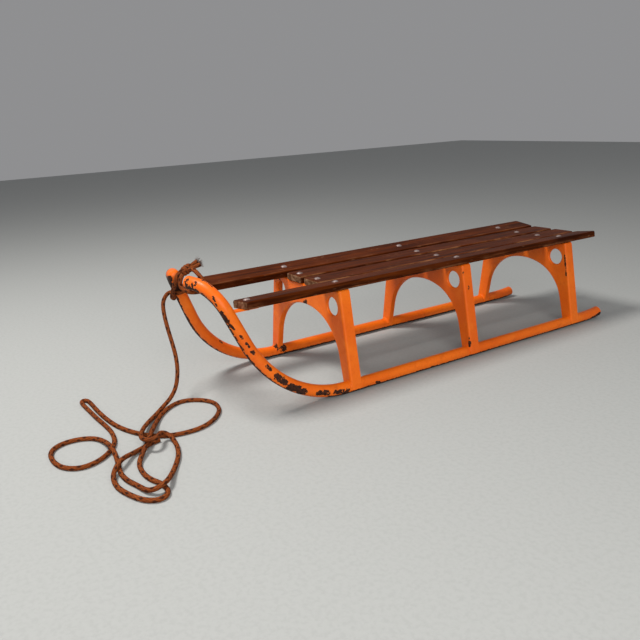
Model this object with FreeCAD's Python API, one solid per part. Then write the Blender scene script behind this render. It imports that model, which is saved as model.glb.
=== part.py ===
import FreeCAD, Part
import math
import os

# A slatted sled on two bent tube runners, with a pull rope. Millimetres.
# X points to the sled's left, Y to its rear and Z up. The origin lies on the
# floor, under the middle of the sled without its rope.

V = FreeCAD.Vector
UP = V(0, 0, 1)
REARWARD = V(0, 1, 0)
LEFTWARD = V(1, 0, 0)
SIDES = (("left", 1), ("right", -1))

# Driving dimensions
SLED_LENGTH = 1095.0
TRACK = 300.0                 # between the two runners' centre lines
TUBE_RADIUS = 12.7
TUBE_WALL = 2.0
CAP_BULGE = 5.0               # how far a domed end cap stands out
HEEL_Y = SLED_LENGTH / 2 - CAP_BULGE
HEEL_RUN = 60.0               # the last stretch of each runner turns up a little
HEEL_RISE = 4.0

# The left runner's centre line: a straight run, a long sweep up and a tight
# curl inward, each bend tangent to its two runs
RUNNER_CORNERS = (
    V(TRACK / 2, HEEL_Y, TUBE_RADIUS + HEEL_RISE),
    V(TRACK / 2, HEEL_Y - HEEL_RUN / 2, TUBE_RADIUS),
    V(TRACK / 2, -415.0, TUBE_RADIUS),
    V(104.5, -517.8, 256.2),
    V(33.5, -535.2, 259.4),
)
HEEL_RADIUS = 440.0
SWEEP_RADIUS = 220.0
CURL_RADIUS = 70.0

# Pressed arch brackets
BRACKETS = (("front", -260.5), ("middle", 74.0), ("rear", 424.5))
SHEET = 2.5
FLANGE_DEPTH = 25.0
BEND_RADIUS = 5.0
TOP_CORNER_RADIUS = 7.0
FOOT_Z = 9.0
FOOT_HALF_WIDTH = 165.2
SHOULDER_HALF_WIDTH = 132.0
SEAT_Z = 203.5                # underside of the inner slats
SEAT_BREAK_X = 66.0           # where the seat begins to tilt up
SEAT_TILT = 7.5               # degrees
ARCH_TOP_Z = 158.5
ARCH_CROWN_RADIUS = 160.0
ARCH_CROWN_HALF_ANGLE = 18.5
ARCH_HAUNCH_RADIUS = 108.0
ARCH_LEG_ANGLE = 78.0         # from the vertical, where the haunch meets the leg
ARCH_LIP_DEPTH = 12.0
HOLE_X = 103.5
HOLE_Z = 173.3
HOLE_RADIUS = 19.5
HOLE_LIP_DEPTH = 6.0

# Slats
SLAT_WIDTH = 60.0
SLAT_THICKNESS = 15.0
SLAT_TOP_ROUND = 3.5
SLAT_BOTTOM_ROUND = 1.5
SLAT_CORNER_ROUND = 7.0
INNER_SLAT_X = 35.0
OUTER_SLAT_X = 104.0
OUTER_SLAT_FRONT_Y = -467.5
INNER_SLAT_FRONT_Y = -265.5
SLAT_REAR_Y = 543.5

# Front tabs, from the runners to under the outer slats
TAB_WIDTH = 24.0
TAB_THICKNESS = 3.0
TAB_FRONT_Y = -499.0
TAB_REAR_Y = -432.0
TAB_RIVET_Y = -450.7

# Rivets
RIVET_BEHIND_FRONT = 12.0
RIVET_SHANK_RADIUS = 3.0
RIVET_HEAD_RADIUS = 7.0
RIVET_HEAD_HEIGHT = 3.0
RIVET_TAIL_RADIUS = 5.5
RIVET_TAIL_HEIGHT = 2.5

WELD_RADIUS = 2.2
WELD_START_ANGLE = -8.0       # round the tube, from its outer side
WELD_END_ANGLE = 168.0

# Rope
ROPE_DIAMETER = 8.0
ROPE_BEND_SHARE = 0.45        # of the shorter run at each corner of a rope's route
KNOT_CENTRE = V(2, -523, 277)
KNOT_HALF_SIZE = (14.0, 12.0, 11.0)
FRAYED_END_RADIUS = 5.0

# The pull rope's route: from the right runner down to the floor, round the
# loops it lies in and over itself, to its free end
PULL_ROPE_ROUTE = (
    (-113, -517, 210), (-124, -520, 207), (-122, -533, 192), (-111, -538, 172), (-95, -540, 145),
    (-77, -540, 116), (-59, -541, 88), (-45, -546, 60), (-35, -557, 32), (-31, -572, 14),
    # along the floor and up into the small fold
    (-20, -592, 6), (7, -619, 4), (41, -647, 8), (77, -670, 14), (112, -687, 18),
    (141, -691, 23), (152, -676, 24), (139, -662, 22), (123, -655, 19), (119, -643, 14),
    # round the front loop
    (134, -636, 8), (166, -640, 4), (200, -652, 4), (232, -671, 4), (264, -691, 8),
    (290, -707, 15), (298, -726, 12), (285, -739, 6), (257, -744, 4), (226, -753, 4),
    (193, -753, 4), (160, -745, 6), (134, -741, 13), (104, -740, 14), (66, -738, 6),
    # round the right loop
    (37, -747, 4), (21, -772, 4), (20, -804, 4), (40, -828, 4), (77, -834, 4),
    (117, -827, 4), (139, -803, 4), (134, -772, 4), (112, -744, 4), (78, -723, 4),
    # out to the far fold and back
    (34, -714, 4), (-10, -715, 4), (-54, -718, 4), (-98, -719, 4), (-132, -720, 4),
    (-154, -720, 4), (-162, -713, 4), (-155, -706, 4), (-132, -705, 4), (-90, -706, 4),
    (-34, -704, 4), (14, -698, 4), (56, -684, 4), (91, -664, 4),
    # round the rear loop
    (114, -638, 4), (123, -605, 4), (121, -571, 4), (101, -537, 4), (67, -510, 4),
    (28, -502, 4), (-5, -518, 4), (-25, -549, 4), (-16, -578, 4), (8, -607, 4),
    (44, -633, 5), (88, -656, 13), (126, -677, 14), (152, -695, 10),
    # round the left loop to the free end
    (180, -716, 4), (212, -723, 4), (246, -722, 4), (276, -710, 4), (306, -711, 4),
    (321, -729, 4), (308, -751, 4), (275, -765, 4), (240, -773, 4), (206, -769, 6),
    (184, -753, 14), (167, -736, 14), (146, -716, 6), (132, -692, 4), (123, -672, 4),
    (119, -656, 4),
)

# The lashing's two turns, each starting in the knot
LEFT_LASHING_ROUTE = (
    (4, -522, 276), (20, -519, 281), (36, -518, 277), (48, -514, 267), (54, -510, 254),
    (50, -515, 242), (38, -527, 239), (22, -536, 239), (6, -541, 246), (4, -540, 259), (4, -533, 270),
)
RIGHT_LASHING_ROUTE = (
    (-3, -528, 277), (-6, -539, 270), (-6, -546, 254), (-40, -537, 235), (-82, -525, 219),
    (-96, -515, 198), (-119, -515, 197), (-133, -503, 206), (-127, -484, 216), (-107, -480, 217),
    (-94, -492, 212), (-96, -509, 209), (-106, -517, 209), (-113, -517, 210),
)
TAIL_ROUTES = (
    ((2, -518, 280), (0, -508, 285), (0, -498, 290)),
    ((6, -519, 279), (7, -507, 282), (9, -496, 285)),
)


def unit(vector):
    return vector * (1.0 / vector.Length)


def bend(before, corner, after, radius):
    """The two tangent points, the middle and the turn of a rounded corner."""
    back = unit(before - corner)
    ahead = unit(after - corner)
    turn = math.pi - back.getAngle(ahead)
    tangent = radius * math.tan(turn / 2)
    start = corner + back * tangent
    end = corner + ahead * tangent
    inward = unit(back + ahead)
    centre = corner + inward * (radius / math.cos(turn / 2))
    middle = centre - inward * radius
    return start, middle, end, centre, turn


def rounded_path(corners, radii):
    """Straight runs joined by tangent arcs, as one wire."""
    edges = []
    here = corners[0]
    for index, radius in enumerate(radii, start=1):
        start, middle, end, _, _ = bend(corners[index - 1], corners[index], corners[index + 1], radius)
        if (start - here).Length > 1e-3:
            edges.append(Part.LineSegment(here, start).toShape())
        edges.append(Part.Arc(start, middle, end).toShape())
        here = end
    if (corners[-1] - here).Length > 1e-3:
        edges.append(Part.LineSegment(here, corners[-1]).toShape())
    return Part.Wire(edges)


def rod_along(path, radius):
    """A round rod that follows a wire."""
    first = path.OrderedEdges[0]
    circle = Part.Circle(first.valueAt(first.FirstParameter), first.tangentAt(first.FirstParameter), radius)
    profile = Part.Wire([circle.toShape()])
    return path.makePipeShell([profile], True, True)


def mirrored(shape):
    return shape.mirror(V(0, 0, 0), LEFTWARD)


def for_side(shape, side):
    return shape if side > 0 else mirrored(shape)


def compound(shapes):
    return Part.makeCompound([solid for shape in shapes for solid in shape.Solids])


# Runners

def runner_path():
    return rounded_path(RUNNER_CORNERS, (HEEL_RADIUS, SWEEP_RADIUS, CURL_RADIUS))


def runner(path):
    return rod_along(path, TUBE_RADIUS).cut(rod_along(path, TUBE_RADIUS - TUBE_WALL))


def dome(end, outward):
    """A welded end cap: a shallow dome that covers the whole end of the tube."""
    sphere_radius = (TUBE_RADIUS ** 2 + CAP_BULGE ** 2) / (2 * CAP_BULGE)
    ball = Part.makeSphere(sphere_radius, end - outward * (sphere_radius - CAP_BULGE))
    keeper = Part.makeCylinder(TUBE_RADIUS + 1, CAP_BULGE + 1, end, outward)
    return ball.common(keeper)


# Brackets

def seat_height(x):
    """The underside of the slats, flat in the middle and tilted up outside."""
    rise = max(0.0, abs(x) - SEAT_BREAK_X) * math.tan(math.radians(SEAT_TILT))
    return SEAT_Z + rise


def bracket_block(front_y, inset, depth, bend_radius):
    """The bracket's outline filled in, inset by a margin, its front edges rounded."""
    splay = (FOOT_HALF_WIDTH - SHOULDER_HALF_WIDTH) / (seat_height(SHOULDER_HALF_WIDTH) - FOOT_Z)
    foot_x = FOOT_HALF_WIDTH - inset * math.hypot(1, splay)
    shoulder_x = foot_x - splay * (seat_height(SHOULDER_HALF_WIDTH) - inset - FOOT_Z)
    half = (
        (shoulder_x, seat_height(shoulder_x) - inset),
        (SEAT_BREAK_X, SEAT_Z - inset),
    )
    right = [V(x, front_y, z) for x, z in half]
    left = [V(-x, front_y, z) for x, z in reversed(half)]
    outline = [V(foot_x, front_y, FOOT_Z)] + right + left + [V(-foot_x, front_y, FOOT_Z)]
    block = Part.Face(Part.makePolygon(outline + outline[:1])).extrude(REARWARD * depth)
    corners = [edge for edge in block.Edges if is_shoulder(edge, shoulder_x)]
    block = block.makeFillet(TOP_CORNER_RADIUS - inset, corners)
    front = [edge for edge in block.Edges if lies_in_front(edge, front_y) and reaches_above(edge, FOOT_Z + 1)]
    return block.makeFillet(bend_radius, front)


def is_shoulder(edge, shoulder_x):
    along_y = abs(edge.BoundBox.YLength) > 1 and edge.BoundBox.XLength < 0.1
    return along_y and abs(abs(edge.CenterOfMass.x) - shoulder_x) < 0.1 and edge.CenterOfMass.z > SEAT_Z - 5


def lies_in_front(edge, front_y):
    return abs(edge.BoundBox.YMin - front_y) < 0.01 and abs(edge.BoundBox.YMax - front_y) < 0.01


def reaches_above(edge, height):
    return edge.BoundBox.ZMax > height


def arch_outline(front_y, growth):
    """The arch opening, grown outward by a margin and carried down past the feet."""
    crown_centre_z = ARCH_TOP_Z - ARCH_CROWN_RADIUS
    crown = ARCH_CROWN_RADIUS + growth
    haunch = ARCH_HAUNCH_RADIUS + growth
    between = ARCH_CROWN_RADIUS - ARCH_HAUNCH_RADIUS
    turn = math.radians(ARCH_CROWN_HALF_ANGLE)
    haunch_x = between * math.sin(turn)
    haunch_z = crown_centre_z + between * math.cos(turn)

    def on_haunch(degrees):
        angle = math.radians(degrees)
        return V(haunch_x + haunch * math.sin(angle), front_y, haunch_z + haunch * math.cos(angle))

    def flipped(point):
        return V(-point.x, point.y, point.z)

    middle_angle = (ARCH_CROWN_HALF_ANGLE + ARCH_LEG_ANGLE) / 2
    join = on_haunch(ARCH_CROWN_HALF_ANGLE)
    middle = on_haunch(middle_angle)
    spring = on_haunch(ARCH_LEG_ANGLE)
    slope = math.tan(math.radians(90 - ARCH_LEG_ANGLE))
    below = -5.0
    foot = V(spring.x + slope * (spring.z - below), front_y, below)
    top = V(0, front_y, crown_centre_z + crown)
    return Part.Wire([
        Part.LineSegment(foot, spring).toShape(),
        Part.Arc(spring, middle, join).toShape(),
        Part.Arc(join, top, flipped(join)).toShape(),
        Part.Arc(flipped(join), flipped(middle), flipped(spring)).toShape(),
        Part.LineSegment(flipped(spring), flipped(foot)).toShape(),
        Part.LineSegment(flipped(foot), foot).toShape(),
    ])


def arch_block(front_y, growth, start, depth):
    face = Part.Face(arch_outline(front_y + start, growth))
    return face.extrude(REARWARD * depth)


def bracket(front_y, tubes, shanks):
    outer = bracket_block(front_y, 0.0, FLANGE_DEPTH, BEND_RADIUS)
    inner = bracket_block(front_y + SHEET, SHEET, FLANGE_DEPTH, BEND_RADIUS - SHEET)
    shell = outer.cut(inner)

    # the lip round the arch, trimmed to the outline of the sheet
    lip = arch_block(front_y, SHEET, 0.0, ARCH_LIP_DEPTH).common(outer)
    holes = []
    collars = []
    for side in (1, -1):
        centre = V(side * HOLE_X, front_y, HOLE_Z)
        holes.append(Part.makeCylinder(HOLE_RADIUS, FLANGE_DEPTH, centre - REARWARD, REARWARD))
        collars.append(Part.makeCylinder(HOLE_RADIUS + SHEET, HOLE_LIP_DEPTH, centre, REARWARD))
    shell = shell.fuse([lip] + collars).removeSplitter()
    shell = shell.cut([arch_block(front_y, 0.0, -1.0, FLANGE_DEPTH + 2)] + holes).removeSplitter()

    rims = [edge for edge in shell.Edges if lies_in_front(edge, front_y) and is_opening_rim(edge)]
    shell = shell.makeFillet(SHEET, rims)
    return shell.cut(tubes + shanks)


def is_opening_rim(edge):
    """True for the front edges of the arch and of the corner holes."""
    middle = edge.valueAt((edge.FirstParameter + edge.LastParameter) / 2)
    inside_arch_band = abs(middle.x) < arch_half_width(middle.z) + 0.1
    round_hole = edge.Curve.TypeId == "Part::GeomCircle" and abs(edge.Curve.Radius - HOLE_RADIUS) < 0.01
    return round_hole or (inside_arch_band and middle.z > FOOT_Z + 0.1)


def arch_half_width(z):
    """Half the width of the arch opening at a height."""
    section = arch_outline(0.0, 0.0)
    probe = Part.LineSegment(V(-400, 0, z), V(400, 0, z)).toShape()
    hits = section.section(probe).Vertexes
    return max([abs(vertex.X) for vertex in hits], default=0.0)


# Slats, tabs and rivets

def tilt_about(shape, x):
    """Turns a piece at a side's outer slat so that it sits on the tilted seat."""
    if abs(x) < SEAT_BREAK_X:
        return shape
    turned = shape.copy()
    turned.rotate(V(x, 0, seat_height(x)), REARWARD, -math.copysign(SEAT_TILT, x))
    return turned


def slat(x, front_y, rear_y, shanks):
    seat = seat_height(x)
    corner = V(x - SLAT_WIDTH / 2, front_y, seat)
    board = Part.makeBox(SLAT_WIDTH, rear_y - front_y, SLAT_THICKNESS, corner)
    upright = [edge for edge in board.Edges if edge.BoundBox.ZLength > SLAT_THICKNESS / 2]
    board = board.makeFillet(SLAT_CORNER_ROUND, upright)
    top = [edge for edge in board.Edges if edge.BoundBox.ZMin > seat + SLAT_THICKNESS - 0.01]
    board = board.makeFillet(SLAT_TOP_ROUND, top)
    bottom = [edge for edge in board.Edges if edge.BoundBox.ZMax < seat + 0.01]
    board = board.makeFillet(SLAT_BOTTOM_ROUND, bottom)
    return tilt_about(board, x).cut(shanks)


def rivet(x, y, under):
    """A dome-headed rivet through a slat and the sheet of a thickness under it."""
    seat = seat_height(x)
    top = seat + SLAT_THICKNESS
    bottom = seat - under
    shank = Part.makeCylinder(RIVET_SHANK_RADIUS, top - bottom, V(x, y, bottom))
    dome_radius = (RIVET_HEAD_RADIUS ** 2 + RIVET_HEAD_HEIGHT ** 2) / (2 * RIVET_HEAD_HEIGHT)
    ball = Part.makeSphere(dome_radius, V(x, y, top + RIVET_HEAD_HEIGHT - dome_radius))
    head = ball.common(Part.makeCylinder(RIVET_HEAD_RADIUS + 1, RIVET_HEAD_HEIGHT + 1, V(x, y, top)))
    tail = Part.makeCone(RIVET_TAIL_RADIUS * 0.6, RIVET_TAIL_RADIUS, RIVET_TAIL_HEIGHT,
                         V(x, y, bottom - RIVET_TAIL_HEIGHT))
    return tilt_about(shank.fuse([head, tail]).removeSplitter(), x)


def tab(side, tube, shanks):
    """A flat strip under an outer slat's front end, its front welded to the runner."""
    x = OUTER_SLAT_X + 3.0
    corner = V(x - TAB_WIDTH / 2, TAB_FRONT_Y, seat_height(OUTER_SLAT_X) - TAB_THICKNESS)
    strip = Part.makeBox(TAB_WIDTH, TAB_REAR_Y - TAB_FRONT_Y, TAB_THICKNESS, corner)
    rear = [edge for edge in strip.Edges
            if edge.BoundBox.ZLength > TAB_THICKNESS / 2 and edge.BoundBox.YMin > TAB_REAR_Y - 1]
    strip = tilt_about(strip.makeFillet(TAB_WIDTH / 4, rear), OUTER_SLAT_X)
    strip = for_side(strip, side).cut([tube] + shanks)
    return max(strip.Solids, key=lambda solid: solid.BoundBox.YMax)


# Welds

def foot_weld(side, front_y, bracket_shape, tube):
    """A bead round the tube, along the foot of a bracket's front sheet."""
    axis_point = V(TRACK / 2, front_y, TUBE_RADIUS)
    circle = Part.Circle(axis_point + LEFTWARD * TUBE_RADIUS, UP, WELD_RADIUS)
    face = Part.Face(Part.Wire([circle.toShape()]))
    face.rotate(axis_point, REARWARD, -WELD_START_ANGLE)
    bead = face.revolve(axis_point, REARWARD, -(WELD_END_ANGLE - WELD_START_ANGLE))
    return for_side(bead, side).cut([bracket_shape, tube])


# Rope

def rope_path(route):
    """A rope's centre line: its runs, joined by arcs that fit the shorter run."""
    corners = [V(*point) for point in route]
    radii = []
    for before, corner, after in zip(corners, corners[1:], corners[2:]):
        shorter = min((before - corner).Length, (after - corner).Length)
        turn = math.pi - (before - corner).getAngle(after - corner)
        radii.append(ROPE_BEND_SHARE * shorter / math.tan(turn / 2))
    return rounded_path(corners, radii), radii


def rope(name, route):
    path, radii = rope_path(route)
    shape = rod_along(path, ROPE_DIAMETER / 2)
    swept = math.pi * (ROPE_DIAMETER / 2) ** 2 * path.Length
    print(f"{name}: length {path.Length:.0f}, volume over section times length {shape.Volume / swept:.4f}")
    print("  radii", " ".join(f"{radius:.0f}" for radius in radii))
    return shape


def knot():
    ball = Part.makeSphere(1.0)
    stretch = FreeCAD.Matrix()
    stretch.scale(*KNOT_HALF_SIZE)
    shape = ball.transformGeometry(stretch)
    shape.translate(KNOT_CENTRE)
    return shape


def tail(route, around):
    """A short rope end whose tip spreads where it is frayed."""
    corners = [V(*point) for point in route]
    path, _ = rope_path(route)
    end = corners[-1]
    direction = unit(end - corners[-2])
    half = ROPE_DIAMETER / 2
    spread = Part.makeCone(half, FRAYED_END_RADIUS, ROPE_DIAMETER, end - direction * half, direction)
    return rod_along(path, half).fuse(spread).removeSplitter().cut(around)


def rope_pieces():
    centre = knot()
    pull_rope = rope("pull rope", PULL_ROPE_ROUTE)
    left = rope("left lashing", LEFT_LASHING_ROUTE).cut(centre)
    right = rope("right lashing", RIGHT_LASHING_ROUTE).cut([centre, pull_rope])
    first = tail(TAIL_ROUTES[0], [centre])
    second = tail(TAIL_ROUTES[1], [centre, first])
    return {
        "pull_rope": pull_rope,
        "lashing_left": left,
        "lashing_right": right,
        "knot": centre,
        "knot_tails": compound([first, second]),
    }


def build():
    parts = {}
    path = runner_path()
    left_tube = runner(path)
    solid_tube = rod_along(path, TUBE_RADIUS)
    tubes = {1: solid_tube, -1: mirrored(solid_tube)}
    tip_direction = unit(RUNNER_CORNERS[-1] - RUNNER_CORNERS[-2])
    heel_direction = unit(RUNNER_CORNERS[0] - RUNNER_CORNERS[1])

    slat_rows = (("outer", OUTER_SLAT_X), ("inner", INNER_SLAT_X))
    places = [(f"{row}_{name}", side * x) for row, x in slat_rows for name, side in SIDES]

    rivets = {}
    for name, front_y in BRACKETS:
        rivets[name] = [rivet(x, front_y + RIVET_BEHIND_FRONT, SHEET) for _, x in places]
    rivets["tab"] = [rivet(side * OUTER_SLAT_X, TAB_RIVET_Y, TAB_THICKNESS) for _, side in SIDES]
    every_rivet = [one for group in rivets.values() for one in group]

    for name, side in SIDES:
        parts[f"runner_{name}"] = for_side(left_tube, side)
        parts[f"tip_cap_{name}"] = for_side(dome(RUNNER_CORNERS[-1], tip_direction), side)
        parts[f"heel_cap_{name}"] = for_side(dome(RUNNER_CORNERS[0], heel_direction), side)
        parts[f"slat_tab_{name}"] = tab(side, tubes[side], rivets["tab"])

    for name, front_y in BRACKETS:
        frame = bracket(front_y, list(tubes.values()), rivets[name])
        parts[f"{name}_bracket"] = frame
        welds = [foot_weld(side, front_y, frame, tubes[side]) for _, side in SIDES]
        parts[f"{name}_welds"] = compound(welds)
        parts[f"{name}_rivets"] = compound(rivets[name])
    parts["tab_rivets"] = compound(rivets["tab"])

    for name, x in places:
        outer = name.startswith("outer")
        front_y = OUTER_SLAT_FRONT_Y if outer else INNER_SLAT_FRONT_Y
        parts[f"slat_{name}"] = slat(x, front_y, SLAT_REAR_Y, every_rivet)
    parts.update(rope_pieces())
    return parts


def save(parts):
    os.makedirs("parts", exist_ok=True)
    for name, shape in parts.items():
        if not shape.isValid() or not shape.Solids:
            raise ValueError(f"{name} is not a sound solid")
        box = shape.BoundBox
        print(f"{name:22s} solids {len(shape.Solids)} volume {shape.Volume:10.0f}"
              f"  y {box.YMin:8.2f} {box.YMax:8.2f}  z {box.ZMin:7.2f} {box.ZMax:7.2f}")
        shape.exportStep(f"parts/{name}.step")


save(build())
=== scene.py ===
import math
import random

import bmesh
import bpy
from mathutils import Matrix, Vector


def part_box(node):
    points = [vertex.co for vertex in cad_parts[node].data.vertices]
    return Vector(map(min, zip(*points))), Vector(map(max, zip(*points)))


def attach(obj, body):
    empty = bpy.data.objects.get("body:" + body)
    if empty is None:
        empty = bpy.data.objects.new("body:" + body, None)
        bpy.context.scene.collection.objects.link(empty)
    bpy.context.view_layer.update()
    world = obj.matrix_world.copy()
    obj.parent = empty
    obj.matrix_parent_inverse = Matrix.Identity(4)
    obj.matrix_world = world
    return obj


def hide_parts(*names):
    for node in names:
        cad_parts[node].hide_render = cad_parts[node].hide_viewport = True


# A slatted sled on bent tube runners, with a braided pull rope. Metres.
# X points to the sled's left, Y to its rear and Z up.

ROPE_DIAMETER = 0.008
STRANDS_ROUND = 12            # bumps round the braid
BRAID_PITCH = 0.0052          # along the rope, from one bump to the next
BRAID_RISE = 0.00054          # from a gap between yarns to a crown
BRAID_INSET = 0.0002          # how far the gaps lie inside the rope's radius
BRAID_ROUNDNESS = 0.8         # the crowns are flatter the smaller this is
ROPE_SIDES = 24
ROPE_STEP = 0.0013
SHORTEST_LAST_STEP = 0.3      # against an even step
END_SWELL_REACH = 0.012       # the stretch before a cut end over which it spreads
PULL_END_SWELL = 0.0003
TAIL_END_SWELL = 0.0006
END_DOME = 0.35               # how far an end stands out, against the radius
TAIL_SHARE = 0.92             # a tail's radius as a share of the rope's

# The pull rope's route, the same points as in the part's source
PULL_ROPE_ROUTE = (
    (-0.113, -0.517, 0.210), (-0.124, -0.520, 0.207), (-0.122, -0.533, 0.192),
    (-0.111, -0.538, 0.172), (-0.095, -0.540, 0.145), (-0.077, -0.540, 0.116),
    (-0.059, -0.541, 0.088), (-0.045, -0.546, 0.060), (-0.035, -0.557, 0.032),
    (-0.031, -0.572, 0.014),
    # along the floor and up into the small fold
    (-0.020, -0.592, 0.006), (0.007, -0.619, 0.004), (0.041, -0.647, 0.008),
    (0.077, -0.670, 0.014), (0.112, -0.687, 0.018), (0.141, -0.691, 0.023),
    (0.152, -0.676, 0.024), (0.139, -0.662, 0.022), (0.123, -0.655, 0.019),
    (0.119, -0.643, 0.014),
    # round the front loop
    (0.134, -0.636, 0.008), (0.166, -0.640, 0.004), (0.200, -0.652, 0.004),
    (0.232, -0.671, 0.004), (0.264, -0.691, 0.008), (0.290, -0.707, 0.015),
    (0.298, -0.726, 0.012), (0.285, -0.739, 0.006), (0.257, -0.744, 0.004),
    (0.226, -0.753, 0.004), (0.193, -0.753, 0.004), (0.160, -0.745, 0.006),
    (0.134, -0.741, 0.013), (0.104, -0.740, 0.014), (0.066, -0.738, 0.006),
    # round the right loop
    (0.037, -0.747, 0.004), (0.021, -0.772, 0.004), (0.020, -0.804, 0.004),
    (0.040, -0.828, 0.004), (0.077, -0.834, 0.004), (0.117, -0.827, 0.004),
    (0.139, -0.803, 0.004), (0.134, -0.772, 0.004), (0.112, -0.744, 0.004),
    (0.078, -0.723, 0.004),
    # out to the far fold and back
    (0.034, -0.714, 0.004), (-0.010, -0.715, 0.004), (-0.054, -0.718, 0.004),
    (-0.098, -0.719, 0.004), (-0.132, -0.720, 0.004), (-0.154, -0.720, 0.004),
    (-0.162, -0.713, 0.004), (-0.155, -0.706, 0.004), (-0.132, -0.705, 0.004),
    (-0.090, -0.706, 0.004), (-0.034, -0.704, 0.004), (0.014, -0.698, 0.004),
    (0.056, -0.684, 0.004), (0.091, -0.664, 0.004),
    # round the rear loop
    (0.114, -0.638, 0.004), (0.123, -0.605, 0.004), (0.121, -0.571, 0.004),
    (0.101, -0.537, 0.004), (0.067, -0.510, 0.004), (0.028, -0.502, 0.004),
    (-0.005, -0.518, 0.004), (-0.025, -0.549, 0.004), (-0.016, -0.578, 0.004),
    (0.008, -0.607, 0.004), (0.044, -0.633, 0.005), (0.088, -0.656, 0.013),
    (0.126, -0.677, 0.014), (0.152, -0.695, 0.010),
    # round the left loop to the free end
    (0.180, -0.716, 0.004), (0.212, -0.723, 0.004), (0.246, -0.722, 0.004),
    (0.276, -0.710, 0.004), (0.306, -0.711, 0.004), (0.321, -0.729, 0.004),
    (0.308, -0.751, 0.004), (0.275, -0.765, 0.004), (0.240, -0.773, 0.004),
    (0.206, -0.769, 0.006), (0.184, -0.753, 0.014), (0.167, -0.736, 0.014),
    (0.146, -0.716, 0.006), (0.132, -0.692, 0.004), (0.123, -0.672, 0.004),
    (0.119, -0.656, 0.004),
)

# The lashing's two turns, each starting in the knot
LEFT_LASHING_ROUTE = (
    (0.004, -0.522, 0.276), (0.020, -0.519, 0.281), (0.036, -0.518, 0.277),
    (0.048, -0.514, 0.267), (0.054, -0.510, 0.254), (0.050, -0.515, 0.242),
    (0.038, -0.527, 0.239), (0.022, -0.536, 0.239), (0.006, -0.541, 0.246),
    (0.004, -0.540, 0.259), (0.004, -0.533, 0.270),
)
RIGHT_LASHING_ROUTE = (
    (-0.003, -0.528, 0.277), (-0.006, -0.539, 0.270), (-0.006, -0.546, 0.254),
    (-0.040, -0.537, 0.235), (-0.082, -0.525, 0.219), (-0.096, -0.515, 0.198),
    (-0.119, -0.515, 0.197), (-0.133, -0.503, 0.206), (-0.127, -0.484, 0.216),
    (-0.107, -0.480, 0.217), (-0.094, -0.492, 0.212), (-0.096, -0.509, 0.209),
    (-0.106, -0.517, 0.209), (-0.113, -0.517, 0.210),
)
TAIL_ROUTES = (
    ((0.002, -0.524, 0.279), (0.001, -0.511, 0.284), (0.000, -0.500, 0.289)),
    ((0.006, -0.524, 0.277), (0.007, -0.509, 0.281), (0.009, -0.498, 0.284)),
)

# The knot: turns of rope wound round the tails
KNOT_CENTRE = Vector((0.002, -0.524, 0.277))
KNOT_AXIS = Vector((-0.15, 0.88, 0.42))
KNOT_LENGTH = 0.017
KNOT_TURNS = 3
KNOT_TURN_RADIUS = 0.0050
KNOT_SWELL = 0.25             # how much fatter the knot is at its middle
KNOT_STEPS = 6                # control points in each turn

# The frayed fibres at a tail's end
FRAY_COUNT = 46
FRAY_SPREAD = 0.7             # how far fibres lean out, against their length
FRAY_LENGTH = 0.010
FRAY_SEED = 11
FRAY_ROOT_DEPTH = 0.003       # how far inside the tail the fibres begin
FRAY_ROOT_REACH = ROPE_DIAMETER * 0.40
FRAY_CURL = 0.35
FRAY_THICKNESS = (0.00030, 0.00060)
FRAY_TAPER = 0.6              # the share of a fibre's thickness that is lost by its tip
FRAY_RINGS = 5

# Each slat's middle in X, its tilt in degrees and the shift of its grain
SLATS = {
    "slat_outer_left": (0.104, -7.5, 0.3),
    "slat_inner_left": (0.035, 0.0, 1.7),
    "slat_inner_right": (-0.035, 0.0, 3.1),
    "slat_outer_right": (-0.104, 7.5, 4.9),
}

# Two soft disk lights: place, target, size and power in watts
LIGHTS = {
    "key": ((-0.55, -1.35, 2.5), (0, -0.1, 0.1), 0.9, 74.0),
    "fill": ((2.4, -1.2, 1.3), (0, 0, 0.1), 2.0, 52.0),
}
LIGHT_COLOUR = (1.0, 0.97, 0.93)
WORLD_COLOUR = (0.86, 0.86, 0.88, 1)
WORLD_STRENGTH = 0.32
FLOOR_SIZE = 14.0

# The camera: where it stands, where it looks and its lens
CAMERA_PLACE = (1.2654, -1.0323, 0.5585)
CAMERA_AZIMUTH = 57.444
CAMERA_ELEVATION = 16.465
CAMERA_ROLL = -2.9005
CAMERA_LENS = 39.97
CAMERA_SENSOR = 36.0


# Node helpers

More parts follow.
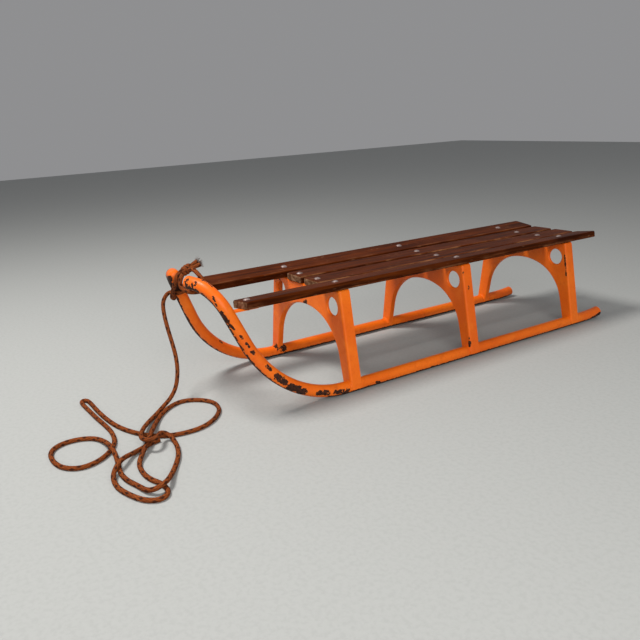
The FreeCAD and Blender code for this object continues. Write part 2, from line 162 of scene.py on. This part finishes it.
class Nodes:
    """A material's node tree, with short calls for what this file uses."""

    def __init__(self, name):
        self.material = bpy.data.materials.new(name)
        self.material.use_nodes = True
        self.tree = self.material.node_tree
        self.tree.nodes.clear()
        self.output = self.add("ShaderNodeOutputMaterial")
        self.shader = self.add("ShaderNodeBsdfPrincipled")
        self.link(self.shader.outputs[0], self.output.inputs["Surface"])
        self.place = self.add("ShaderNodeTexCoord").outputs["Object"]

    def add(self, kind, **settings):
        node = self.tree.nodes.new(kind)
        for key, value in settings.items():
            setattr(node, key, value)
        return node

    def link(self, source, target):
        self.tree.links.new(source, target)

    def feed(self, socket, value):
        """Links a socket or sets a plain value."""
        if isinstance(value, bpy.types.NodeSocket):
            self.link(value, socket)
        else:
            socket.default_value = value

    def math(self, operation, first, second=0.0, clamp=False):
        node = self.add("ShaderNodeMath", operation=operation, use_clamp=clamp)
        self.feed(node.inputs[0], first)
        self.feed(node.inputs[1], second)
        return node.outputs[0]

    def remap(self, value, low, high, to_low=0.0, to_high=1.0, smooth=True):
        node = self.add("ShaderNodeMapRange", clamp=True)
        if smooth:
            node.interpolation_type = "SMOOTHSTEP"
        self.feed(node.inputs["Value"], value)
        node.inputs["From Min"].default_value = low
        node.inputs["From Max"].default_value = high
        node.inputs["To Min"].default_value = to_low
        node.inputs["To Max"].default_value = to_high
        return node.outputs["Result"]

    def mix(self, share, first, second):
        node = self.add("ShaderNodeMix", data_type="RGBA")
        self.feed(node.inputs[0], share)
        self.feed(node.inputs[6], first)
        self.feed(node.inputs[7], second)
        return node.outputs[2]

    def over(self, colour, share, amount, other):
        """Another colour over this one, where the share is high and by no more than the amount."""
        return self.mix(self.math("MULTIPLY", share, amount), colour, other)

    def mapped(self, source, location=(0, 0, 0), rotation=(0, 0, 0), scale=(1, 1, 1)):
        node = self.add("ShaderNodeMapping")
        self.link(source, node.inputs["Vector"])
        node.inputs["Location"].default_value = location
        node.inputs["Rotation"].default_value = rotation
        node.inputs["Scale"].default_value = scale
        return node.outputs[0]

    def noise(self, source, scale, detail=3.0, roughness=0.55, distortion=0.0):
        node = self.add("ShaderNodeTexNoise")
        self.link(source, node.inputs["Vector"])
        node.inputs["Scale"].default_value = scale
        node.inputs["Detail"].default_value = detail
        node.inputs["Roughness"].default_value = roughness
        node.inputs["Distortion"].default_value = distortion
        return node.outputs[0]

    def split(self, source):
        node = self.add("ShaderNodeSeparateXYZ")
        self.link(source, node.inputs[0])
        return node.outputs

    def normal(self):
        return self.add("ShaderNodeNewGeometry").outputs["Normal"]

    def distance_to_line(self, start, end):
        """The distance to a short straight line between two places."""
        along = Vector(end) - Vector(start)
        from_start = self.mapped(self.place, location=tuple(-v for v in start))
        dot = self.add("ShaderNodeVectorMath", operation="DOT_PRODUCT")
        self.link(from_start, dot.inputs[0])
        dot.inputs[1].default_value = along / along.length_squared
        share = self.math("MINIMUM", self.math("MAXIMUM", dot.outputs["Value"], 0.0), 1.0)
        nearest = self.add("ShaderNodeVectorMath", operation="SCALE")
        nearest.inputs[0].default_value = along
        self.link(share, nearest.inputs["Scale"])
        gap = self.add("ShaderNodeVectorMath", operation="DISTANCE")
        self.link(from_start, gap.inputs[0])
        self.link(nearest.outputs[0], gap.inputs[1])
        return gap.outputs["Value"]

    def bump(self, height, strength, distance):
        node = self.add("ShaderNodeBump")
        node.inputs["Strength"].default_value = strength
        node.inputs["Distance"].default_value = distance
        self.feed(node.inputs["Height"], height)
        return node.outputs[0]

    def finish(self, colour, roughness, normal, **constants):
        self.feed(self.shader.inputs["Base Color"], colour)
        self.feed(self.shader.inputs["Roughness"], roughness)
        self.link(normal, self.shader.inputs["Normal"])
        for name, value in constants.items():
            self.feed(self.shader.inputs[name.replace("_", " ")], value)
        return self.material


# Materials

# Where paint has come off, and where painted shade is added along with the loss: the two ends of each
# patch, its reach and how complete the loss and shade are
CHIP_AND_SHADE_LINES = (
    ((0.046, -0.544, 0.262), (0.058, -0.544, 0.252), 0.006, 0.52),
    ((0.062, -0.541, 0.262), (0.064, -0.541, 0.258), 0.004, 0.56),
    ((0.044, -0.541, 0.266), (0.047, -0.540, 0.267), 0.004, 0.56),
    ((0.070, -0.535, 0.266), (0.071, -0.536, 0.262), 0.004, 0.54),
    ((0.072, -0.523, 0.268), (0.094, -0.513, 0.257), 0.003, 0.50),
    ((0.057, -0.542, 0.250), (0.084, -0.536, 0.243), 0.006, 0.56),
    ((0.108, -0.521, 0.243), (0.112, -0.518, 0.226), 0.003, 0.54),
    ((0.112, -0.522, 0.222), (0.119, -0.512, 0.206), 0.004, 0.56),
    ((0.118, -0.512, 0.211), (0.122, -0.505, 0.196), 0.007, 0.62),
    ((0.122, -0.505, 0.196), (0.128, -0.494, 0.180), 0.003, 0.62),
    ((0.133, -0.484, 0.166), (0.134, -0.482, 0.162), 0.003, 0.52),
    ((0.137, -0.476, 0.151), (0.139, -0.471, 0.143), 0.003, 0.54),
    ((0.141, -0.466, 0.133), (0.142, -0.464, 0.128), 0.005, 0.58),
    ((0.147, -0.441, 0.100), (0.149, -0.435, 0.093), 0.005, 0.60),
    ((0.151, -0.424, 0.076), (0.154, -0.409, 0.060), 0.008, 0.66),
    ((0.154, -0.399, 0.048), (0.158, -0.372, 0.032), 0.010, 0.70),
    ((0.161, -0.340, 0.022), (0.162, -0.318, 0.018), 0.007, 0.60),
    ((0.162, -0.300, 0.014), (0.162, -0.270, 0.010), 0.006, 0.60),
    ((0.162, -0.196, 0.010), (0.162, -0.190, 0.008), 0.004, 0.60),
    # painted shade on the inside of the far runner's curl, together with its paint loss
    ((-0.036, -0.548, 0.256), (-0.046, -0.547, 0.250), 0.009, 0.80),
    ((-0.071, -0.537, 0.251), (-0.100, -0.512, 0.220), 0.015, 0.80),
    ((-0.131, -0.408, 0.074), (-0.132, -0.404, 0.070), 0.004, 0.60),
    ((-0.143, -0.255, 0.024), (-0.139, -0.243, 0.020), 0.012, 0.66),
    ((-0.002, -0.261, 0.160), (0.004, -0.258, 0.163), 0.007, 0.64),
    ((-0.104, -0.261, 0.193), (-0.104, -0.258, 0.160), 0.006, 0.56),
    ((0.150, -0.261, 0.119), (0.151, -0.261, 0.117), 0.003, 0.62),
    ((0.150, -0.250, 0.121), (0.151, -0.249, 0.119), 0.003, 0.62),
    ((0.136, 0.074, 0.194), (0.138, 0.074, 0.190), 0.004, 0.60),
    ((0.140, 0.086, 0.160), (0.141, 0.086, 0.156), 0.003, 0.60),
    ((0.156, 0.072, 0.048), (0.157, 0.072, 0.044), 0.003, 0.60),
    ((0.157, 0.076, 0.036), (0.158, 0.074, 0.028), 0.004, 0.62),
    ((0.133, 0.424, 0.180), (0.140, 0.424, 0.130), 0.003, 0.56),
    # painted shade from the floor contact at the bottom of the near runner's rear end, together with its
    # worn paint
    ((0.162, 0.543, 0.012), (0.160, 0.505, 0.003), 0.007, 0.60),
    ((0.160, 0.340, 0.004), (0.160, 0.300, 0.003), 0.004, 0.52),
)


def orange_paint():
    n = Nodes("orange_paint")
    across = n.split(n.place)
    facing = n.split(n.normal())

    broad = n.noise(n.place, 9.0, 3.0)
    fine = n.noise(n.place, 160.0, 4.0, 0.62)
    ragged = n.remap(n.noise(n.place, 105.0, 6.0, 0.68, 0.9), 0.30, 0.70, 0.10, 0.90, smooth=False)
    scattered = n.noise(n.place, 34.0, 4.0, 0.58)

    # paint colour: deeper in patches, with a slight chalky fade
    paint = n.mix(n.remap(broad, 0.35, 0.68), (0.76, 0.120, 0.0040, 1), (0.86, 0.164, 0.0060, 1))
    paint = n.over(paint, n.remap(fine, 0.45, 0.75), 0.35, (0.66, 0.085, 0.002, 1))
    paint = n.over(paint, n.remap(scattered, 0.52, 0.72), 0.28, (0.90, 0.225, 0.018, 1))
    grime = n.remap(n.noise(n.place, 21.0, 5.0, 0.7), 0.56, 0.74)
    paint = n.over(paint, grime, 0.35, (0.36, 0.050, 0.004, 1))

    # paint loss on the patches above, some of which carry painted shade; darker on the runners' low,
    # downward-facing underside and on the outside of their sweep; and wear in specks
    worn = None
    for start, end, reach, amount in CHIP_AND_SHADE_LINES:
        near = n.remap(n.distance_to_line(start, end), reach * 1.5, reach * 0.4, 0.0, amount)
        worn = near if worn is None else n.math("MAXIMUM", worn, near)
    # darker where the runners are low and face down
    low = n.remap(across["Z"], 0.014, 0.003)
    downward = n.remap(facing["Z"], -0.20, -0.70)
    sole = n.math("MULTIPLY", n.math("MULTIPLY", low, downward), 0.80)
    worn = n.math("MAXIMUM", worn, sole)
    # darker on the front sweep where it faces down and ahead
    below_and_ahead = n.math("MULTIPLY", n.math("ADD", facing["Z"], facing["Y"]), -0.707)
    swept = n.remap(across["Y"], -0.280, -0.400)
    curled = n.math("MULTIPLY", swept, n.remap(below_and_ahead, 0.62, 0.95))
    worn = n.math("MAXIMUM", worn, n.math("MULTIPLY", curled, 0.62))
    specks = n.remap(n.noise(n.place, 70.0, 2.0, 0.5), 0.69, 0.78, 0.0, 0.30)
    worn = n.math("MAXIMUM", worn, specks)
    # where paint is lost, and where the patches above carry painted shade
    bare_and_shaded = n.remap(n.math("ADD", worn, ragged), 0.88, 0.93)

    chalky_rim = n.remap(n.math("ADD", worn, ragged), 0.83, 0.88)
    paint = n.over(paint, chalky_rim, 0.35, (0.92, 0.31, 0.06, 1))
    # near-black bare metal; in the patches with painted shade it also stands for shade
    metal = n.mix(n.remap(fine, 0.35, 0.65), (0.012, 0.005, 0.003, 1), (0.060, 0.016, 0.006, 1))
    colour = n.mix(bare_and_shaded, paint, metal)

    roughness = n.remap(fine, 0.3, 0.7, 0.34, 0.48, smooth=False)
    roughness = n.math("ADD", roughness, n.math("MULTIPLY", bare_and_shaded, 0.38), clamp=True)
    lumps = n.math("ADD", n.math("MULTIPLY", broad, 0.6), n.math("MULTIPLY", fine, 0.12))
    height = n.math("SUBTRACT", lumps, n.math("MULTIPLY", bare_and_shaded, 0.55))
    return n.finish(colour, roughness, n.bump(height, 0.55, 0.0009), Specular_IOR_Level=0.22,
                    Coat_Weight=0.05, Coat_Roughness=0.16)


def slat_wood(name, centre_x, tilt, seed):
    """Dark varnished wood: grain along the slat, worn arrises and a paler front end."""
    n = Nodes(name)
    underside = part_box(name)[0][2]
    if tilt:
        turned = n.mapped(n.place, location=(-centre_x, 0, -underside))
        turned = n.mapped(turned, rotation=(0, tilt, 0))
    else:
        turned = n.mapped(n.place, location=(-centre_x, 0, 0))
    part = n.split(turned)
    height_above = part["Z"]
    if not tilt:
        height_above = n.math("SUBTRACT", part["Z"], underside)
    sideways = n.math("ABSOLUTE", part["X"])

    long_grain = n.mapped(n.place, location=(seed, seed * 2, 0), scale=(1.0, 0.045, 1.0))
    grain = n.noise(long_grain, 230.0, 5.0, 0.65, 0.6)
    bands = n.noise(long_grain, 62.0, 3.0, 0.5, 1.4)
    streaks = n.noise(n.mapped(n.place, location=(0, seed, 0), scale=(1.0, 0.02, 1.0)), 420.0, 3.0)
    patches = n.noise(n.place, 12.0, 4.0, 0.6)
    dust = n.noise(n.place, 90.0, 4.0, 0.65)

    dark = (0.027, 0.0048, 0.0009, 1)
    mid = (0.078, 0.0145, 0.0018, 1)
    warm = (0.145, 0.032, 0.0042, 1)
    colour = n.mix(n.remap(bands, 0.36, 0.66), dark, mid)
    colour = n.over(colour, n.remap(grain, 0.46, 0.74), 0.6, warm)
    colour = n.over(colour, n.remap(streaks, 0.58, 0.72), 0.55, (0.012, 0.0025, 0.0008, 1))
    colour = n.over(colour, n.remap(patches, 0.48, 0.72), 0.35, (0.125, 0.026, 0.006, 1))

    # arrises: bare wood shows where the varnish has rubbed off
    side_edge = n.remap(sideways, 0.0255, 0.0300)
    top_edge = n.remap(height_above, 0.0095, 0.0145)
    rubbed = n.math("MULTIPLY", side_edge, top_edge)
    rubbed = n.math("MULTIPLY", rubbed, n.remap(patches, 0.40, 0.62))
    rubbed = n.math("MULTIPLY", rubbed, n.remap(grain, 0.40, 0.60))
    colour = n.over(colour, rubbed, 0.70, (0.40, 0.185, 0.085, 1))

    # the cut front end: paler end grain
    facing = n.split(n.normal())
    cut = n.remap(facing["Y"], -0.55, -0.92)
    end_grain = n.mix(n.remap(dust, 0.4, 0.65), (0.085, 0.036, 0.016, 1), (0.25, 0.145, 0.085, 1))
    colour = n.over(colour, cut, 0.85, end_grain)

    # fine scratches, almost along the slat
    scratch_lines = n.mapped(n.place, location=(seed, 0, 0), rotation=(0, 0, 0.12), scale=(1.0, 0.03, 1.0))
    scratches = n.noise(scratch_lines, 520.0, 1.0, 0.4)
    scratched = n.math("MULTIPLY", n.remap(scratches, 0.70, 0.76), n.remap(dust, 0.5, 0.6))
    colour = n.over(colour, scratched, 0.6, (0.33, 0.17, 0.09, 1))

    roughness = n.math("ADD", n.remap(grain, 0.3, 0.7, 0.36, 0.52, smooth=False),
                       n.math("MULTIPLY", rubbed, 0.35), clamp=True)
    roughness = n.math("ADD", roughness, n.math("MULTIPLY", cut, 0.35), clamp=True)
    rise = n.math("ADD", n.math("MULTIPLY", grain, 0.7), n.math("MULTIPLY", bands, 0.6))
    return n.finish(colour, roughness, n.bump(rise, 0.45, 0.0008), Specular_IOR_Level=0.03)


def rivet_steel():
    n = Nodes("rivet_steel")
    fine = n.noise(n.place, 420.0, 4.0, 0.6)
    stain = n.noise(n.place, 95.0, 3.0, 0.6)
    colour = n.mix(n.remap(stain, 0.38, 0.66), (0.30, 0.235, 0.225, 1), (0.17, 0.115, 0.10, 1))
    colour = n.over(colour, n.remap(fine, 0.55, 0.72), 0.7, (0.10, 0.05, 0.035, 1))
    roughness = n.remap(fine, 0.3, 0.7, 0.34, 0.58, smooth=False)
    return n.finish(colour, roughness, n.bump(fine, 0.35, 0.0004), Metallic=0.45)


def rope_fibre():
    """Brown braid with dark tracer flecks, laid out by the tube's UVs."""
    n = Nodes("rope_fibre")
    uv = n.add("ShaderNodeUVMap", uv_map="braid").outputs[0]
    weave = n.split(uv)
    round_it = n.math("MULTIPLY", weave["X"], STRANDS_ROUND / 2)
    along = n.math("MULTIPLY", weave["Y"], 1 / (2 * BRAID_PITCH))
    rising = n.math("ADD", round_it, along)
    falling = n.math("SUBTRACT", round_it, along)
    rising_yarn = n.math("FLOOR", rising)
    falling_yarn = n.math("FLOOR", falling)
    over = n.math("FLOORED_MODULO", n.math("ADD", rising_yarn, falling_yarn), 2.0)
    tracer = n.math("LESS_THAN", n.math("FLOORED_MODULO", rising_yarn, 3.0), 0.5)
    fleck = n.math("MULTIPLY", tracer, n.math("GREATER_THAN", over, 0.5))

    # painted shade: the gaps between yarns are darkened against their crowns, as shade falls there
    crown_a = n.math("ABSOLUTE", n.math("SINE", n.math("MULTIPLY", rising, math.pi)))
    crown_b = n.math("ABSOLUTE", n.math("SINE", n.math("MULTIPLY", falling, math.pi)))
    crown = n.remap(n.math("MULTIPLY", crown_a, crown_b), 0.02, 0.55)

    fibres = n.noise(n.mapped(uv, scale=(40, 900, 1)), 1.0, 3.0, 0.6)
    dirt = n.noise(n.place, 42.0, 4.0, 0.6)
    worn = n.noise(n.mapped(uv, scale=(0.4, 26, 1)), 1.0, 2.0)

    colour = n.mix(n.remap(fibres, 0.35, 0.68), (0.17, 0.036, 0.008, 1), (0.31, 0.080, 0.018, 1))
    colour = n.over(colour, n.remap(dirt, 0.46, 0.70), 0.45, (0.105, 0.030, 0.012, 1))
    colour = n.over(colour, n.remap(worn, 0.50, 0.72), 0.3, (0.38, 0.120, 0.032, 1))
    colour = n.over(colour, fleck, 0.88, (0.022, 0.008, 0.006, 1))
    # painted shade in the gaps between yarns
    gap = n.math("SUBTRACT", 0.55, n.math("MULTIPLY", crown, 0.55))
    colour = n.mix(gap, colour, (0.045, 0.014, 0.006, 1))

    height = n.math("ADD", n.math("MULTIPLY", fibres, 0.5), crown)
    return n.finish(colour, 0.88, n.bump(height, 0.7, 0.0005), Specular_IOR_Level=0.08)


def frayed_fibre():
    n = Nodes("frayed_fibre")
    tint = n.noise(n.place, 700.0, 2.0)
    colour = n.mix(n.remap(tint, 0.4, 0.65), (0.020, 0.010, 0.008, 1), (0.16, 0.065, 0.032, 1))
    return n.finish(colour, 0.9, n.bump(tint, 0.4, 0.0003), Specular_IOR_Level=0.2)


def floor_paint():
    n = Nodes("floor_paint")
    fine = n.noise(n.place, 130.0, 3.0, 0.6)
    colour = n.mix(n.remap(fine, 0.4, 0.7), (0.40, 0.412, 0.405, 1), (0.375, 0.387, 0.38, 1))
    return n.finish(colour, 0.75, n.bump(fine, 0.15, 0.0006), Specular_IOR_Level=0.2)


# Rope

def spline_points(route):
    """Points along the route's smooth line, which is a NURBS spline."""
    curve = bpy.data.curves.new("route", "CURVE")
    curve.dimensions = "3D"
    curve.resolution_u = 16
    spline = curve.splines.new("NURBS")
    spline.points.add(len(route) - 1)
    for point, place in zip(spline.points, route):
        point.co = (*place, 1.0)
    spline.order_u = 3
    spline.use_endpoint_u = True
    holder = bpy.data.objects.new("route", curve)
    mesh = bpy.data.meshes.new_from_object(holder)
    line = [vertex.co.copy() for vertex in mesh.vertices]
    bpy.data.meshes.remove(mesh)
    bpy.data.objects.remove(holder)
    bpy.data.curves.remove(curve)
    return line


def evenly(line, step):
    """The line again, with points an even step apart."""
    result = [line[0]]
    left = step
    for start, end in zip(line, line[1:]):
        stretch = end - start
        length = stretch.length
        if length < 1e-9:
            continue
        done = 0.0
        while done + left <= length:
            done += left
            result.append(start + stretch * (done / length))
            left = step
        left -= length - done
    if (result[-1] - line[-1]).length > step * SHORTEST_LAST_STEP:
        result.append(line[-1])
    return result


def carried_frames(line):
    """A tangent, a normal and a side at each point, turning as little as can be."""
    frames = []
    normal = None
    for index in range(len(line)):
        before = line[max(index - 1, 0)]
        after = line[min(index + 1, len(line) - 1)]
        tangent = (after - before).normalized()
        if normal is None:
            normal = tangent.orthogonal().normalized()
        normal = (normal - tangent * normal.dot(tangent)).normalized()
        frames.append((tangent, normal, tangent.cross(normal)))
    return frames


def new_piece(name, mesh):
    """Puts a finished bmesh into the scene as an object."""
    data = bpy.data.meshes.new(name)
    mesh.to_mesh(data)
    mesh.free()
    piece = bpy.data.objects.new(name, data)
    bpy.context.scene.collection.objects.link(piece)
    return piece


def braided_tube(name, line, radius, end_swell=0.0):
    """A tube that bulges as a braid's yarns do, and is flat where it lies on the floor."""
    frames = carried_frames(line)
    mesh = bmesh.new()
    uv_layer = mesh.loops.layers.uv.new("braid")
    rings = []
    along = 0.0
    distances = []
    for index, (centre, (tangent, normal, side)) in enumerate(zip(line, frames)):
        if index:
            along += (centre - line[index - 1]).length
        distances.append(along)
        phase = along / BRAID_PITCH * 2 * math.pi
        to_end = (len(line) - 1 - index) * ROPE_STEP
        swell = end_swell * max(0.0, 1 - to_end / END_SWELL_REACH)
        ring = []
        for turn in range(ROPE_SIDES):
            angle = 2 * math.pi * turn / ROPE_SIDES
            lean = STRANDS_ROUND / 2 * angle
            bulge = math.cos(lean + phase / 2) * math.cos(lean - phase / 2)
            reach = radius - BRAID_INSET + BRAID_RISE * abs(bulge) ** BRAID_ROUNDNESS + swell
            offset = normal * math.cos(angle) + side * math.sin(angle)
            place = centre + offset * reach
            place.z = max(place.z, 0.0)
            ring.append(mesh.verts.new(place))
        rings.append(ring)
    for index in range(len(rings) - 1):
        for turn in range(ROPE_SIDES):
            after = (turn + 1) % ROPE_SIDES
            face = mesh.faces.new((rings[index][turn], rings[index][after],
                                   rings[index + 1][after], rings[index + 1][turn]))
            face.smooth = True
            places = ((turn, index), (turn + 1, index), (turn + 1, index + 1), (turn, index + 1))
            for loop, (round_it, step) in zip(face.loops, places):
                loop[uv_layer].uv = (round_it / ROPE_SIDES, distances[step])
    for ring, centre, outward in ((rings[0], line[0], -1), (rings[-1], line[-1], 1)):
        tangent = frames[0][0] if outward < 0 else frames[-1][0]
        tip = mesh.verts.new(centre + tangent * outward * radius * END_DOME)
        for turn in range(ROPE_SIDES):
            pair = (ring[turn], ring[(turn + 1) % ROPE_SIDES])
            corners = (*pair, tip) if outward > 0 else (pair[1], pair[0], tip)
            face = mesh.faces.new(corners)
            face.smooth = True
    return new_piece(name, mesh)


def fray(name, place, direction, seed):
    """Loose fibres at a rope's cut end."""
    dice = random.Random(seed)
    mesh = bmesh.new()
    for _ in range(FRAY_COUNT):
        side = Vector((dice.uniform(-1, 1), dice.uniform(-1, 1), dice.uniform(-1, 1)))
        side = (side - direction * side.dot(direction)).normalized()
        root = place + side * dice.uniform(0.0, FRAY_ROOT_REACH) - direction * FRAY_ROOT_DEPTH
        way = (direction + side * dice.uniform(0.1, FRAY_SPREAD)).normalized()
        curl = Vector((dice.uniform(-1, 1), dice.uniform(-1, 1), dice.uniform(-1, 1))) * FRAY_CURL
        reach = FRAY_LENGTH * dice.uniform(0.55, 1.0)
        thick = dice.uniform(*FRAY_THICKNESS)
        before = None
        for step in range(FRAY_RINGS):
            share = step / (FRAY_RINGS - 1)
            centre = root + (way + curl * share * share) * reach * share
            one = way.orthogonal().normalized()
            two = way.cross(one)
            size = thick * (1 - FRAY_TAPER * share)
            ring = []
            for angle in (0, math.pi / 2, math.pi, 3 * math.pi / 2):
                outward = one * math.cos(angle) + two * math.sin(angle)
                ring.append(mesh.verts.new(centre + outward * size))
            if before:
                for turn in range(4):
                    after = (turn + 1) % 4
                    mesh.faces.new((before[turn], before[after], ring[after], ring[turn]))
            else:
                mesh.faces.new(ring[::-1])
            before = ring
        mesh.faces.new(before)
    return new_piece(name, mesh)


def joined(name, pieces):
    """Several meshes as one piece, in their order."""
    mesh = bmesh.new()
    for piece in pieces:
        mesh.from_mesh(piece.data)
        old = piece.data
        bpy.data.objects.remove(piece)
        bpy.data.meshes.remove(old)
    return new_piece(name, mesh)


def dress(piece, material, slot, *nodes):
    piece.data.materials.clear()
    piece.data.materials.append(material)
    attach(piece, "root")
    if nodes:
        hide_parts(*nodes)
    return piece


def knot_route():
    """Control points of a coil that is fatter at its middle."""
    along = KNOT_AXIS.normalized()
    one = along.orthogonal().normalized()
    two = along.cross(one)
    points = []
    steps = KNOT_TURNS * KNOT_STEPS
    for step in range(steps + 1):
        share = step / steps
        angle = step * 2 * math.pi / KNOT_STEPS
        reach = KNOT_TURN_RADIUS * (1 + KNOT_SWELL * math.sin(math.pi * share))
        outward = one * math.cos(angle) + two * math.sin(angle)
        points.append(tuple(KNOT_CENTRE + along * (share - 0.5) * KNOT_LENGTH + outward * reach))
    return points


def make_ropes(fibre, frayed):
    radius = ROPE_DIAMETER / 2
    smooth = spline_points(PULL_ROPE_ROUTE)
    pull = braided_tube("pull_rope_braid", evenly(smooth, ROPE_STEP), radius, PULL_END_SWELL)
    dress(pull, fibre, "rope", "pull_rope")

    for name, route, node in (("lashing_left_braid", LEFT_LASHING_ROUTE, "lashing_left"),
                              ("lashing_right_braid", RIGHT_LASHING_ROUTE, "lashing_right"),
                              ("knot_braid", knot_route(), "knot")):
        line = evenly(spline_points(route), ROPE_STEP)
        dress(braided_tube(name, line, radius), fibre, "rope", node)

    tails = []
    frays = []
    for number, route in enumerate(TAIL_ROUTES):
        line = evenly(spline_points(route), ROPE_STEP)
        tails.append(braided_tube(f"tail_{number}", line, radius * TAIL_SHARE, TAIL_END_SWELL))
        tip = Vector(route[-1])
        heading = (tip - Vector(route[-2])).normalized()
        frays.append(fray(f"tail_fray_{number}", tip, heading, FRAY_SEED + number))
    dress(joined("knot_tails_braid", tails), fibre, "rope", "knot_tails")
    dress(joined("knot_tails_fray", frays), frayed, "rope")


# Floor, light and camera

def make_floor(material):
    bpy.ops.mesh.primitive_plane_add(size=FLOOR_SIZE, location=(0, 0, 0))
    floor = bpy.context.object
    floor.name = "floor"
    floor.data.materials.append(material)


def area_light(name, place, target, size, power):
    data = bpy.data.lights.new(name, "AREA")
    data.shape = "DISK"
    data.size = size
    data.energy = power
    data.color = LIGHT_COLOUR
    light = bpy.data.objects.new(name, data)
    light.location = place
    aim = Vector(target) - Vector(place)
    light.rotation_euler = aim.to_track_quat("-Z", "Y").to_euler()
    bpy.context.scene.collection.objects.link(light)


def make_lights():
    world = bpy.data.worlds.new("studio")
    world.use_nodes = True
    background = world.node_tree.nodes["Background"]
    background.inputs["Color"].default_value = WORLD_COLOUR
    background.inputs["Strength"].default_value = WORLD_STRENGTH
    bpy.context.scene.world = world
    for name, (place, target, size, power) in LIGHTS.items():
        area_light(name, place, target, size, power)


def make_camera():
    azimuth = math.radians(CAMERA_AZIMUTH)
    elevation = math.radians(CAMERA_ELEVATION)
    back = Vector((math.sin(azimuth) * math.cos(elevation), -math.cos(azimuth) * math.cos(elevation),
                   math.sin(elevation)))
    right = (-back).cross(Vector((0, 0, 1))).normalized()
    up = back.cross(right)
    turn = Matrix((right, up, back)).transposed() @ Matrix.Rotation(math.radians(CAMERA_ROLL), 3, "Z")
    data = bpy.data.cameras.new("camera")
    data.lens = CAMERA_LENS
    data.sensor_width = CAMERA_SENSOR
    camera = bpy.data.objects.new("camera", data)
    camera.matrix_world = Matrix.Translation(CAMERA_PLACE) @ turn.to_4x4()
    bpy.context.scene.collection.objects.link(camera)
    bpy.context.scene.camera = camera


def paint_frame(frame):
    paint = orange_paint()
    steel = rivet_steel()
    for name, node in frame["nodes"].items():
        if name in SLATS:
            centre_x, tilt, seed = SLATS[name]
            material = slat_wood(name, centre_x, math.radians(tilt), seed)
        elif name.endswith("rivets"):
            material = steel
        else:
            material = paint
        node.data.materials.clear()
        node.data.materials.append(material)


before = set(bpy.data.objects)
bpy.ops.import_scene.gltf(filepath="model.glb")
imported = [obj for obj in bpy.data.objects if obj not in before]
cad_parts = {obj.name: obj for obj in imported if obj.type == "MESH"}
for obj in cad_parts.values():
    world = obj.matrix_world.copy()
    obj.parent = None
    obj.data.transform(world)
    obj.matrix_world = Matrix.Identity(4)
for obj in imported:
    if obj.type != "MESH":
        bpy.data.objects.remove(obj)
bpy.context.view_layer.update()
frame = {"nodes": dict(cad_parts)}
paint_frame(frame)
make_ropes(rope_fibre(), frayed_fibre())
make_floor(floor_paint())
make_lights()
make_camera()
bpy.context.scene.view_settings.view_transform = "Standard"
